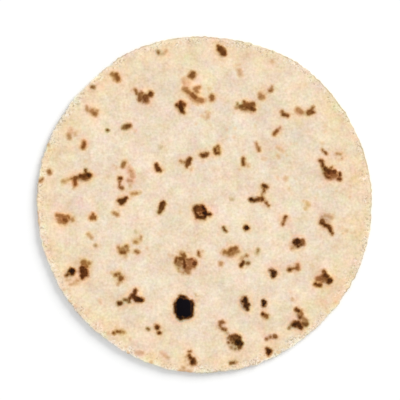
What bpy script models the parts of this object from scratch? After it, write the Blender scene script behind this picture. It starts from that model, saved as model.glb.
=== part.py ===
"""A piadina, the thin round flatbread of Romagna, baked on a hot plate.

The bread is one closed solid that lies flat, with +Z up and its origin under its middle.
Its plan is a circle whose edge waves slightly. The upper face rolls in low waves, thins
towards the rim, and carries a raised blister wherever the dough puffed up and browned.
The rim is rounded and stands a little off the surface below it, and the middle of the
underside is flat.
"""

import math

import bmesh
import bpy
from mathutils import Matrix

NAME = "piadina"

# Driving dimensions, in metres.
DIAMETER = 0.240
THICKNESS = 0.0030
RIM_THICKNESS = 0.0022

# How far the rim's underside stands off the surface: its mean, and what it adds at its
# highest side and takes away at the opposite one.
RIM_LIFT = 0.0007
RIM_LIFT_SWING = 0.0004
HIGHEST_SIDE = math.radians(215)

# Shares of the radius.
THINS_FROM = 0.72
ROLLS_FADE_FROM = 0.88
LIFTS_FROM = 0.78

# Waves along the edge: how many go round, the height of each, and where its first crest
# is, in degrees.
EDGE_WAVES = (
    (2, 0.00036, 86),
    (3, 0.00036, 26),
    (4, 0.00012, 2),
    (5, 0.00030, -26),
    (6, 0.00027, -10),
    (7, 0.00019, 6),
    (8, 0.00014, 19),
)

# Low waves that cross the upper face: length, direction in degrees, where the first crest
# is as a share of the length, and height.
ROLLS = (
    (0.085, 20, 0.20, 0.00016),
    (0.061, 101, 0.60, 0.00013),
    (0.047, 153, 0.10, 0.00010),
    (0.036, 62, 0.80, 0.00008),
    (0.029, -31, 0.35, 0.00006),
)

# The larger blisters: x, y, half length, half width, turn in degrees, and height.
BLISTERS = (
    (-0.0147, -0.0740, 0.0100, 0.0080, 90, 0.0012),
    (0.0225, -0.0985, 0.0080, 0.0065, -40, 0.0009),
    (-0.0025, -0.0055, 0.0065, 0.0055, -60, 0.0008),
    (-0.0135, -0.0420, 0.0090, 0.0065, -20, 0.0008),
    (0.0670, -0.0860, 0.0070, 0.0045, -10, 0.0007),
    (0.0685, -0.0785, 0.0060, 0.0040, -55, 0.0006),
    (0.0900, 0.0220, 0.0070, 0.0055, -30, 0.0008),
    (-0.0860, 0.0200, 0.0075, 0.0045, 5, 0.0007),
    (-0.0430, 0.0770, 0.0075, 0.0055, 0, 0.0006),
    (0.0310, 0.0695, 0.0070, 0.0045, -10, 0.0007),
    (0.0290, -0.0710, 0.0062, 0.0042, -65, 0.0007),
    (0.0670, -0.0275, 0.0055, 0.0045, 0, 0.0007),
    (-0.0860, -0.0470, 0.0062, 0.0045, 75, 0.0007),
    (-0.0955, -0.0480, 0.0045, 0.0042, 30, 0.0006),
    (-0.0480, -0.0670, 0.0062, 0.0045, -35, 0.0006),
    (-0.0090, 0.0810, 0.0095, 0.0065, -45, 0.0006),
    (-0.0165, 0.0690, 0.0058, 0.0042, -65, 0.0006),
    (0.0120, 0.1095, 0.0058, 0.0042, -55, 0.0006),
    (0.0185, -0.0340, 0.0080, 0.0045, 10, 0.0005),
    (0.0460, -0.1050, 0.0048, 0.0040, -65, 0.0006),
    (0.0870, -0.0520, 0.0062, 0.0042, -50, 0.0006),
    (-0.1010, -0.0105, 0.0062, 0.0045, -10, 0.0005),
)

# How finely the faces are divided.
RINGS = 34
RIM_STEPS = 4
UNDERSIDE_STEPS = 3

DOUGH_COLOUR = (0.87, 0.70, 0.51, 1.0)
DOUGH_ROUGHNESS = 0.75

CORNER = math.pi / 3


def clear_scene():
    """Removes every object, so that the bread stands alone."""
    for obj in list(bpy.data.objects):
        bpy.data.objects.remove(obj)


def smooth_step(start, end, value):
    """0 up to start and 1 from end, with a smooth rise between them."""
    share = min(max((value - start) / (end - start), 0.0), 1.0)
    return share * share * (3.0 - 2.0 * share)


def edge_radius(angle):
    """The distance from the middle to the edge of the plan."""
    waves = sum(height * math.cos(count * (angle - math.radians(crest))) for count, height, crest in EDGE_WAVES)
    return DIAMETER / 2 + waves


def underside_height(share, angle):
    """The height of the underside, at this share of the radius."""
    lift = RIM_LIFT + RIM_LIFT_SWING * math.cos(angle - HIGHEST_SIDE)
    return lift * smooth_step(LIFTS_FROM, 1.0, share)


def roll_height(x, y):
    """The low waves that cross the face."""
    total = 0.0
    for length, direction, shift, height in ROLLS:
        way = math.radians(direction)
        along = x * math.cos(way) + y * math.sin(way)
        total += height * math.cos(2 * math.pi * (along / length - shift))
    return total


def blister_height(x, y):
    """The domes of the blisters: each is an oval that rises smoothly from its edge."""
    total = 0.0
    for middle_x, middle_y, half_length, half_width, turn, height in BLISTERS:
        way = math.radians(turn)
        along = (x - middle_x) * math.cos(way) + (y - middle_y) * math.sin(way)
        across = (y - middle_y) * math.cos(way) - (x - middle_x) * math.sin(way)
        inside = 1.0 - (along / half_length) ** 2 - (across / half_width) ** 2
        if inside > 0:
            total += height * inside * inside * (3.0 - 2.0 * inside)
    return total


def on_upper_face(share, angle):
    """A point of the upper face, at this share of the way from the middle to the rim's round."""
    radius = share * (edge_radius(angle) - RIM_THICKNESS / 2)
    x = radius * math.cos(angle)
    y = radius * math.sin(angle)
    of_edge = radius / edge_radius(angle)
    body = THICKNESS + (RIM_THICKNESS - THICKNESS) * smooth_step(THINS_FROM, 1.0, share)
    relief = roll_height(x, y) + blister_height(x, y)
    relief *= 1.0 - smooth_step(ROLLS_FADE_FROM, 1.0, share)
    return x, y, underside_height(of_edge, angle) + body + relief


def on_rim(turn, angle):
    """A point of the rim's round, where turn goes from straight up to straight down."""
    reach = edge_radius(angle) - RIM_THICKNESS / 2 * (1.0 - math.cos(turn))
    height = underside_height(1.0, angle) + RIM_THICKNESS / 2 * (1.0 + math.sin(turn))
    return reach * math.cos(angle), reach * math.sin(angle), height


def on_underside(share, angle):
    """A point of the underside, at this share of the radius."""
    radius = share * edge_radius(angle)
    return radius * math.cos(angle), radius * math.sin(angle), underside_height(share, angle)


def from_hexagon(x, y):
    """The share of the radius and the angle that a point of the unit hexagon takes on the disc.

    Each ring of the hexagon becomes a circle, with its points evenly spaced along it.
    """
    angle = math.atan2(y, x) % (2 * math.pi)
    side = math.floor(angle / CORNER)
    off_middle = angle - (side + 0.5) * CORNER
    half_height = math.cos(CORNER / 2)
    share = math.hypot(x, y) * math.cos(off_middle) / half_height
    along_side = 0.5 + half_height * math.tan(off_middle)
    return share, (side + along_side) * CORNER


def make_upper_face(bm):
    """The upper face: a hexagon of even triangles, spread into a disc. Returns its edge."""
    quarter_turn = Matrix.Rotation(-math.pi / 2, 4, "Z")
    bmesh.ops.create_circle(bm, cap_ends=True, cap_tris=True, segments=6, radius=1.0, matrix=quarter_turn)
    bmesh.ops.subdivide_edges(bm, edges=bm.edges[:], cuts=RINGS - 1, use_grid_fill=True)
    for vert in bm.verts:
        vert.co = on_upper_face(*from_hexagon(vert.co.x, vert.co.y))
    return [edge for edge in bm.edges if edge.is_boundary]


def extend(bm, edges, place):
    """Extrudes a ring of edges, moves each new point by place(angle), and returns the new ring."""
    made = bmesh.ops.extrude_edge_only(bm, edges=edges)["geom"]
    for item in made:
        if isinstance(item, bmesh.types.BMVert):
            item.co = place(math.atan2(item.co.y, item.co.x))
    return [item for item in made if isinstance(item, bmesh.types.BMEdge) and item.is_boundary]


def make_rim_and_underside(bm, edges):
    """Carries the upper face's edge round the rim and under, and closes the flat middle."""
    for step in range(1, RIM_STEPS + 1):
        turn = math.pi / 2 - math.pi * step / RIM_STEPS
        edges = extend(bm, edges, lambda angle, turn=turn: on_rim(turn, angle))
    for step in range(1, UNDERSIDE_STEPS + 1):
        share = 1.0 + (LIFTS_FROM - 1.0) * step / UNDERSIDE_STEPS
        edges = extend(bm, edges, lambda angle, share=share: on_underside(share, angle))
    middle = bmesh.ops.contextual_create(bm, geom=edges)["faces"]
    bmesh.ops.triangulate(bm, faces=middle, ngon_method="BEAUTY")


def dough_material():
    """Pale baked dough."""
    material = bpy.data.materials.new("dough")
    material.use_nodes = True
    shader = material.node_tree.nodes["Principled BSDF"]
    shader.inputs["Base Color"].default_value = DOUGH_COLOUR
    shader.inputs["Roughness"].default_value = DOUGH_ROUGHNESS
    material.diffuse_color = DOUGH_COLOUR
    return material


def make_bread(collection):
    """The whole bread as one closed mesh."""
    bm = bmesh.new()
    edges = make_upper_face(bm)
    make_rim_and_underside(bm, edges)
    bmesh.ops.recalc_face_normals(bm, faces=bm.faces[:])
    mesh = bpy.data.meshes.new(NAME)
    bm.to_mesh(mesh)
    bm.free()
    mesh.materials.append(dough_material())
    mesh.shade_smooth()
    bread = bpy.data.objects.new(NAME, mesh)
    collection.objects.link(bread)


def main():
    clear_scene()
    collection = bpy.data.collections.new(NAME.capitalize())
    bpy.context.scene.collection.children.link(collection)
    make_bread(collection)


if __name__ == "__main__":
    main()
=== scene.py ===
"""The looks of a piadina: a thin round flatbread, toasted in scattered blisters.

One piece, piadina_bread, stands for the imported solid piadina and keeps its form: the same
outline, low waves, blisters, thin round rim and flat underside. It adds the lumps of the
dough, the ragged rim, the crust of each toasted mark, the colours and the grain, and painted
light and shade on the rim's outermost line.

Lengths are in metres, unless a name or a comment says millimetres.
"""

import math
from functools import partial

import bpy
import numpy as np
from bpy.props import FloatProperty, FloatVectorProperty, IntProperty, PointerProperty
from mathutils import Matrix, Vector


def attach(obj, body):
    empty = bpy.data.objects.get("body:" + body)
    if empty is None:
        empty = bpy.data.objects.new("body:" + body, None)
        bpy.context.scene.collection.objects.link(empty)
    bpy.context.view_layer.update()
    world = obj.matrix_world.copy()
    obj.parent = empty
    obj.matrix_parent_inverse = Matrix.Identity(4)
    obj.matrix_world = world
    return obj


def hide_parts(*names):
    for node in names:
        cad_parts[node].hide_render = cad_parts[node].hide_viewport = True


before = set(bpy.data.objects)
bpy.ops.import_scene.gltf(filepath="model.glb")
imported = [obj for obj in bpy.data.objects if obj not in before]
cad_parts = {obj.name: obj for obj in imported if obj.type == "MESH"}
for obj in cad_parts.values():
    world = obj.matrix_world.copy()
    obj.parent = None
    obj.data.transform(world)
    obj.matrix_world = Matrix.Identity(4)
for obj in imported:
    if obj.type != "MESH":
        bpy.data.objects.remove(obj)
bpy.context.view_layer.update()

bl_info = {
    "name": "Piadina",
    "version": (1, 0, 0),
    "blender": (4, 5, 0),
    "location": "View3D > Sidebar > Piadina",
    "description": "Builds a thin round flatbread with toasted blisters, and its stage",
    "category": "Add Mesh",
}

CAD_NODE = "piadina"
CAD_BODY = "root"
PIECE_NAME = "piadina_bread"
MM = 0.001
FULL_TURN = 2 * math.pi

# ------------------------------------------------------------------ the form of the bread

# Waves along the edge: how many go round, the height of each, and where its first crest
# is, in degrees.
EDGE_WAVES = (
    (2, 0.00036, 86),
    (3, 0.00036, 26),
    (4, 0.00012, 2),
    (5, 0.00030, -26),
    (6, 0.00027, -10),
    (7, 0.00019, 6),
    (8, 0.00014, 19),
)

# Low waves that cross the upper face: length, direction in degrees, where the first crest
# is as a share of the length, and height.
ROLLS = (
    (0.085, 20, 0.20, 0.00016),
    (0.061, 101, 0.60, 0.00013),
    (0.047, 153, 0.10, 0.00010),
    (0.036, 62, 0.80, 0.00008),
    (0.029, -31, 0.35, 0.00006),
)

# The larger blisters: x, y, half length, half width, turn in degrees, and height.
BLISTERS = (
    (-0.0147, -0.0740, 0.0100, 0.0080, 90, 0.0012),
    (0.0225, -0.0985, 0.0080, 0.0065, -40, 0.0009),
    (-0.0025, -0.0055, 0.0065, 0.0055, -60, 0.0008),
    (-0.0135, -0.0420, 0.0090, 0.0065, -20, 0.0008),
    (0.0670, -0.0860, 0.0070, 0.0045, -10, 0.0007),
    (0.0685, -0.0785, 0.0060, 0.0040, -55, 0.0006),
    (0.0900, 0.0220, 0.0070, 0.0055, -30, 0.0008),
    (-0.0860, 0.0200, 0.0075, 0.0045, 5, 0.0007),
    (-0.0430, 0.0770, 0.0075, 0.0055, 0, 0.0006),
    (0.0310, 0.0695, 0.0070, 0.0045, -10, 0.0007),
    (0.0290, -0.0710, 0.0062, 0.0042, -65, 0.0007),
    (0.0670, -0.0275, 0.0055, 0.0045, 0, 0.0007),
    (-0.0860, -0.0470, 0.0062, 0.0045, 75, 0.0007),
    (-0.0955, -0.0480, 0.0045, 0.0042, 30, 0.0006),
    (-0.0480, -0.0670, 0.0062, 0.0045, -35, 0.0006),
    (-0.0090, 0.0810, 0.0095, 0.0065, -45, 0.0006),
    (-0.0165, 0.0690, 0.0058, 0.0042, -65, 0.0006),
    (0.0120, 0.1095, 0.0058, 0.0042, -55, 0.0006),
    (0.0185, -0.0340, 0.0080, 0.0045, 10, 0.0005),
    (0.0460, -0.1050, 0.0048, 0.0040, -65, 0.0006),
    (0.0870, -0.0520, 0.0062, 0.0042, -50, 0.0006),
    (-0.1010, -0.0105, 0.0062, 0.0045, -10, 0.0005),
)

# How much more the rim stands off on its highest side, and less on the other, and where
# that side is.
RIM_LIFT_SWING = 0.0004
HIGHEST_SIDE = math.radians(215)

# Shares of the radius: from where the bread thins towards its rim, its waves fade, its
# underside lifts and the pits of the underside fade.
THINS_FROM = 0.72
ROLLS_FADE_FROM = 0.88
LIFTS_FROM = 0.78
PITS_FADE_FROM = 0.9

# The section of the rim is a rounded square: 1 would be a half circle, and 0 a square.
RIM_ROUNDNESS = 0.5

# Fine waves of the ragged edge, of the thickness of the rim, and of the painted shade on
# the rim's outermost line: fewest and most of them round the bread, and their root mean
# square height.
EDGE_RIPPLE = (9, 240, 0.00026)
RIM_RIPPLE = (5, 70, 0.00007)
RIM_SUN_FACING_RIPPLE = (4, 60, 0.22)

# The side that the main light comes from, and how much of the darker edge colour the rim's
# outermost line takes there and on the other side: painted shade on the sunlit side, and
# the pale edge colour, painted light, on the shaded side.
SUNLIT_SIDE = math.radians(45)
RIM_SUN_FACING_MOST = 0.9
RIM_SUN_FACING_LEAST = 0.0

# Lumps of the dough: size and height of each kind, coarse to fine. All lumps are drawn on
# a square lattice of this many points a side, which then repeats.
LUMPS = (
    (0.0120, 0.00010),
    (0.0055, 0.00007),
    (0.0024, 0.00004),
)
LATTICE_POINTS = 128

# How a toasted mark stands off the dough around it, and how rough its crust is.
MARK_RISE = 0.00022
MARK_RISE_OUTSIDE_MM = 0.9
MARK_RISE_INSIDE_MM = 1.4
CRUST_SIZE = 0.0013
CRUST_ROUGHNESS = 0.00009

# The skin of a blister is drawn taut, so its relief fades between these heights of it.
TAUT_HEIGHTS = (0.0004, 0.0010)

# How much of the relief is lost on a taut blister and on the way to the rim, and how much
# of the dough's lumps the rounded rim itself keeps.
RELIEF_LOST_WHERE_TAUT = 0.8
RELIEF_LOST_AT_RIM = 0.8
RELIEF_ON_RIM = 0.2

# The shallow pits of the underside.
PIT_SIZE = 0.0045
PIT_DEPTH = 0.00012

# The random draws, one seed for each.
EDGE_SEED = 1658
RIM_SEED = 23
RIM_SUN_FACING_SEED = 29
LUMP_SEED = 37
CRUST_SEED = 53
PIT_SEED = 71
UNDERSIDE_SEED = 97

# --------------------------------------------------------------------- the toasted marks

# How far apart marks may be and still run into one another, and what stands in a sum for
# no mark at all.
MERGING_MM = 0.3
NO_MARK = 1e-12

# How wide the edge of a mark is, and how many such widths off a mark no longer counts.
MARK_EDGE_MM = 0.5
FAR_OFF = 25

# How far the tint around a mark reaches, and the power of the browning that gives it.
GLOW_MM = 1.3
GLOW_GAIN = 1.6

# Round marks of the upper face, in millimetres: x, y, half width, and browning, which is 0
# in plain dough, 1 where it is charred, and a little more where it is all black.
TOASTED_SPOTS = (
    # y 60 to 120
    (-51.8, 81.2, 1, 0.38), (9.7, 112.5, 1.5, 0.8), (14.1, 107.3, 1.8, 0.84), (-6.5, 92.5, 1.1, 0.62),
    (-14, 83.8, 1.3, 0.42), (-9.5, 75.4, 1.2, 0.5), (-5.8, 80.6, 1.8, 0.6), (3.5, 82, 1.8, 0.2),
    (48.5, 101.8, 1.5, 0.36), (26.5, 91.3, 1, 0.22), (48.6, 80.8, 0.9, 0.5), (43.5, 81.5, 1.2, 0.15),
    (40.8, 75.3, 1.3, 0.54), (66.5, 65.8, 1.3, 0.5), (70.5, 64.8, 1.1, 0.5), (72, 65, 1, 0.4),
    (1, 66, 0.9, 0.25), (21, 65, 1, 0.15),
    # y 0 to 60
    (-69.3, 52.6, 1.3, 0.96), (-111.3, 42, 0.9, 0.4), (-110.8, 38, 0.8, 0.3), (-107, 39, 0.8, 0.2),
    (98.3, 32.5, 0.9, 0.5), (94, 33, 1.2, 0.2), (96.2, 31, 0.8, 0.3), (84.5, 43.3, 1.5, 0.2),
    (86.5, 56, 1, 0.15), (86, 51.5, 1, 0.15), (-49.7, 52.3, 1, 0.25), (-56, 30, 1.2, 0.35),
    (-52.3, 18, 1.2, 0.3), (-64.7, 27.2, 0.7, 0.3), (-63, 25.7, 0.8, 0.3), (-31.3, 40.5, 1.3, 0.28),
    (9.2, 38.6, 0.9, 0.55), (-0.8, 36.2, 0.9, 0.78), (-3, 34.8, 1.1, 0.74), (0, 33.8, 1.1, 0.8),
    (-9.2, 24.8, 1, 0.38), (-1, 30.3, 0.7, 0.2), (20.8, 47.7, 1.1, 0.2), (22, 54, 0.9, 0.2),
    (16, 53, 0.8, 0.18), (4.3, 56, 0.7, 0.18), (-6, 57, 1, 0.18), (16.5, 48, 0.7, 0.15),
    (24.8, 24.7, 0.8, 0.25), (58.7, 34.3, 0.7, 0.2), (58, 18, 1.7, 0.34), (52.5, 18.5, 1, 0.18),
    (65.5, 18, 0.9, 0.15), (36.5, 56, 0.9, 0.15), (62, 43, 0.9, 0.15), (65.5, 43, 0.9, 0.15),
    (-84, 18.8, 1.4, 0.8), (-101.5, 13.5, 1.3, 0.15), (-84.8, 30.5, 1.5, 0.15), (81.4, 31, 0.9, 0.6),
    (90.8, 25.9, 1.4, 0.8), (87.6, 20.8, 0.8, 0.6), (71, 2.3, 1, 0.2), (94.5, 9.6, 0.9, 0.2),
    (79.7, 4.3, 0.8, 0.18), (104.3, 5, 0.9, 0.18), (82, 12.3, 1, 0.15), (104.5, 13, 0.8, 0.15),
    (60.4, 11.1, 0.9, 0.2), (-28.7, 0.3, 1.3, 0.84), (41.3, 3.2, 1.8, 0.87), (33.2, 3.2, 1.9, 0.93),
    # y -60 to 0
    (-119.5, -6.5, 0.8, 0.4), (-119.7, -9, 0.8, 0.3), (-96.7, -9.7, 1.4, 0.76), (-105.5, -10.5, 1.3, 0.4),
    (-103, -13, 1.5, 0.5), (-79.7, -7.6, 1.6, 0.7), (-60.7, -5.3, 0.8, 0.25), (-65, -5, 0.9, 0.3),
    (72.2, -3, 1.4, 0.3), (-17.3, -6.4, 0.9, 0.15), (-3.2, -6.8, 1.6, 0.84), (-6.7, -3.1, 2, 0.84),
    (13.6, -16.9, 1.2, 0.92), (9.5, -22, 0.8, 0.15), (16.3, -28.5, 0.8, 0.2), (56.1, -14.4, 1.4, 0.8),
    (58, -9.2, 1.5, 0.82), (60.3, -10.2, 0.7, 0.35), (-77.7, -29.7, 1.3, 0.5), (-115, -24.3, 0.6, 0.2),
    (-48.8, -20, 1.1, 0.35), (-47.5, -25, 1, 0.3), (-58.9, -32.3, 2, 0.58), (-57.2, -32.2, 1.3, 0.6),
    (-57.5, -33.5, 1.5, 0.66), (-41, -31.5, 1.2, 0.2), (-56.4, -37.6, 0.9, 0.42),
    (-94.3, -48, 2.6, 0.95), (-94.6, -49.8, 1.6, 0.92), (-95, -46.2, 1.5, 0.9),
    (-98.6, -51.1, 1.3, 0.88), (-86.2, -42.1, 2.7, 0.67), (-82.7, -42.4, 1.9, 0.64),
    (-84.5, -43.3, 1.8, 0.69), (-88.2, -40.8, 1.4, 0.2), (-88.3, -39.5, 1.6, 0.2),
    (-84, -44.8, 1.9, 0.7), (-92, -42.5, 2, 0.2), (-86, -50.5, 2.2, 0.86), (-60, -46, 0.9, 0.15),
    (-63.3, -50.7, 1.7, 0.74), (-61, -50.1, 1.6, 0.68), (-60, -53.8, 1.7, 0.76),
    (-69.8, -49.6, 1, 0.12), (66.6, -26.9, 2.7, 0.93), (64.3, -27.3, 2, 0.9), (67, -30, 1.5, 0.9),
    (65, -25.8, 1.6, 0.88), (68.6, -28.8, 1.7, 0.82), (65, -28.7, 1.6, 0.86), (63, -31.4, 1.8, 0.48),
    (61.5, -30, 1, 0.3), (84.1, -11.9, 2.1, 0.78), (84.8, -13.3, 1.8, 0.82), (84.2, -9.5, 1.4, 0.48),
    (88.3, -12.5, 1.8, 0.34), (90.7, -9.5, 1.3, 0.33), (101.5, -19.2, 1.2, 0.28), (99, -21, 0.9, 0.2),
    (105.5, -21, 0.9, 0.2), (98.2, -17.2, 0.9, 0.15), (77.3, -44.7, 0.9, 0.15), (-20.3, -43.4, 1.1, 0.5),
    (-18.6, -46.3, 1, 0.62), (-15, -49, 1.1, 0.58), (-10.6, -42, 2.7, 0.66), (-7.2, -42.5, 2.2, 0.84),
    (-18, -41.6, 2.3, 0.64), (-16.3, -36.2, 1.6, 0.72), (-11, -50.6, 0.9, 0.26),
    (-3.4, -37.2, 1.1, 0.68), (-1.4, -34, 0.9, 0.42), (21, -33.6, 2.4, 0.64), (23.2, -33.4, 1.9, 0.6),
    (12.5, -34.6, 1, 0.42), (11.8, -42.8, 2, 0.53), (26.4, -38.2, 1.6, 0.36), (30.2, -36.8, 1.4, 0.68),
    (37.5, -35.5, 1, 0.5), (34, -34.5, 0.9, 0.15), (26.3, -44.1, 1.6, 0.9), (49.7, -49.4, 2.2, 0.94),
    (49, -51.2, 2, 0.94), (60.8, -44.8, 1.1, 0.5), (66.5, -41.9, 1.2, 0.3), (66, -45.5, 1.6, 0.76),
    (85.3, -48.1, 1.6, 0.8), (90.3, -54.9, 1.7, 0.93), (89.4, -54.4, 2.3, 0.9),
    (86.5, -53.7, 1.5, 0.78), (88.5, -56.1, 1.6, 0.87), (87.7, -54.9, 1.4, 0.77),
    (84.3, -55.5, 1.4, 0.74), (84.5, -51.4, 1.5, 0.83), (79.3, -57, 1.5, 0.92), (83.3, -51.6, 1.2, 0.6),
    (95.5, -56.5, 1, 0.15),
    # y -120 to -60
    (-49.3, -62, 1.8, 0.84), (-50.3, -66.6, 1.9, 0.87), (-48.5, -68, 2.2, 0.9), (-60.6, -71, 1.7, 0.82),
    (-57, -67.8, 0.8, 0.45), (-62.7, -88.6, 1.6, 0.18), (-64.9, -92.2, 1.3, 0.84), (-59.3, -93, 0.9, 0.4),
    (-68.5, -92.5, 1.1, 0.3), (-96, -69.5, 1, 0.22), (-92, -72.5, 1, 0.2), (-96, -62, 1.2, 0.24),
    (-100, -61, 1, 0.28), (-33.7, -88.2, 2.1, 0.88), (-34.4, -86.7, 1.3, 0.6), (-35.6, -88, 1.1, 0.5),
    (-38, -113, 0.9, 0.38), (-54.5, -106, 0.6, 0.4), (-53, -96.3, 1.1, 0.2), (-56, -94.5, 1.4, 0.15),
    (-8, -111.5, 2.1, 0.88), (-8.6, -113.6, 2, 0.92), (-6.5, -112.5, 1.3, 0.82),
    (-13, -109.5, 1.2, 0.4), (-10.9, -111, 1.3, 0.64), (-7.3, -114.2, 1.5, 0.86),
    (-13.5, -111.7, 0.9, 0.35), (-12, -115, 0.9, 0.4), (-6, -65.4, 1, 0.5), (33.6, 65.2, 1, 0.4),
    (94, -70, 0.8, 0.3), (-56, -102, 0.8, 0.3), (88, -77, 0.8, 0.25), (41, -110, 1, 0.3),
    (84, -62.5, 1, 0.3), (108, -20, 0.9, 0.25), (-17, 115, 1, 0.25), (71, -31.5, 0.9, 0.3),
    (87, -75, 0.8, 0.3), (-15, -117.2, 1.7, 0.46), (-16.7, -81.4, 2.3, 0.95), (-18.6, -80.3, 1.9, 0.93),
    (-13.5, -80.4, 2.1, 0.96), (-9.8, -79.6, 2.1, 0.94), (-10.2, -70.6, 2.6, 0.95),
    (-13, -69.2, 2.4, 0.96), (-11.3, -80.2, 2, 0.95), (29, -67.8, 2.2, 0.94), (27.2, -69.4, 1.6, 0.93),
    (28.7, -72.1, 1.9, 0.9), (31.3, -71.9, 1.7, 0.92), (30.9, -75.3, 1.3, 0.88),
    (28.8, -73.5, 1.2, 0.86), (62.8, -68.3, 1.1, 0.4), (61.5, -62.5, 1, 0.14), (41.9, -78.6, 1.7, 0.9),
    (43.3, -81.3, 1.1, 0.5), (13.5, -85.1, 1.2, 0.62), (9.3, -86.8, 0.8, 0.35), (18.8, -94.7, 1.6, 0.82),
    (17.3, -95.8, 1.2, 0.78), (25, -95.6, 1.9, 0.88), (21.6, -96.2, 2.4, 0.82),
    (19.2, -96.7, 1.8, 0.76), (24, -98.5, 3, 0.93), (20.3, -98.8, 1.5, 0.8), (26, -99.6, 2.1, 0.92),
    (25.1, -101.8, 2.1, 0.84), (22.3, -99.6, 1.6, 0.9), (24.6, -103, 1.2, 0.8),
    (17.3, -98.8, 1.3, 0.74), (19, -98.6, 1, 0.5), (19.4, -102.3, 1.8, 0.5), (22, -103.4, 1.6, 0.58),
    (22, -111, 1, 0.3), (50.5, -94.7, 2.1, 0.73), (47, -95, 1.5, 0.68), (44.5, -96.4, 1.5, 0.7),
    (44.9, -103.6, 1.5, 0.86), (46.2, -105.2, 2.4, 0.93), (45.7, -107.2, 1.5, 0.94),
    (50.5, -102, 1.4, 0.15), (53, -106, 1, 0.22), (68.3, -80.7, 1.7, 0.83), (67.5, -78.5, 1.4, 0.68),
    (64.8, -84.2, 1.5, 0.88), (65, -87, 1.6, 0.88), (69, -88.7, 1.4, 0.88), (72.8, -85.9, 1.9, 0.78),
    (61.8, -87, 1.1, 0.74), (60.5, -88.4, 1.4, 0.74),
)

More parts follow.
